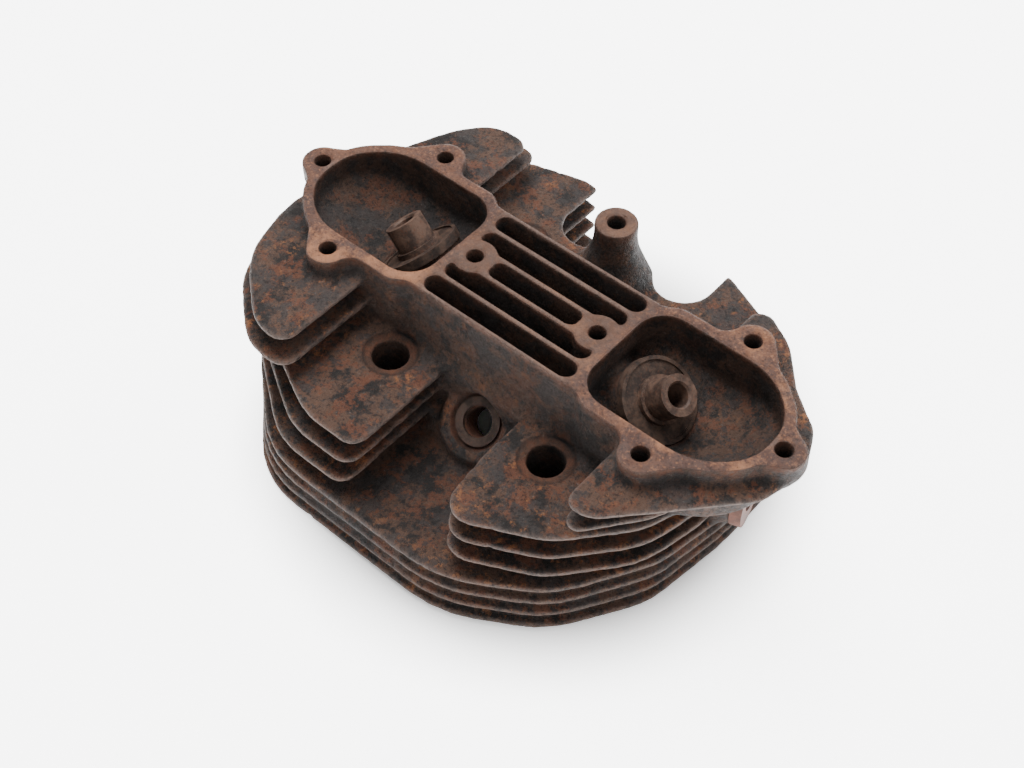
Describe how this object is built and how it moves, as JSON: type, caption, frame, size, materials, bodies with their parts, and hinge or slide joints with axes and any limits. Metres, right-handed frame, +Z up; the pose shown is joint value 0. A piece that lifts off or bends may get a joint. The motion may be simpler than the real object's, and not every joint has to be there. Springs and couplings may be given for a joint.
{
  "type": "cylinder head",
  "caption": "Bare finned iron cylinder head with twin rocker wells, angled valve guides, a side spark plug boss and stud-drilled gasket rims.",
  "frame": {"origin": "centre of the register on the joint face, on the cylinder axis", "axes": "+Z up from the joint face to the rocker covers, +X towards the exhaust well, -Y towards the spark plug, +Y towards the pushrods"},
  "size_m": [0.258, 0.1899, 0.09],
  "materials": {
    "casting": "rough cast, browned with rust, with duller machined faces",
    "guide": "turned, tarnished",
    "spring_seat": "turned steel, oily and rusted",
    "valve_seat": "ground steel",
    "stub": "turned steel with a light rust bloom",
    "washer": "dulled copper-coloured washer"
  },
  "bodies": {
    "root": {"head_casting": "casting", "exhaust_guide": "guide", "inlet_guide": "guide", "exhaust_spring_seat": "spring_seat", "inlet_spring_seat": "spring_seat", "exhaust_valve_seat": "valve_seat", "inlet_valve_seat": "valve_seat", "exhaust_stub": "stub", "plug_washer": "washer"}
  },
  "joints": []
}
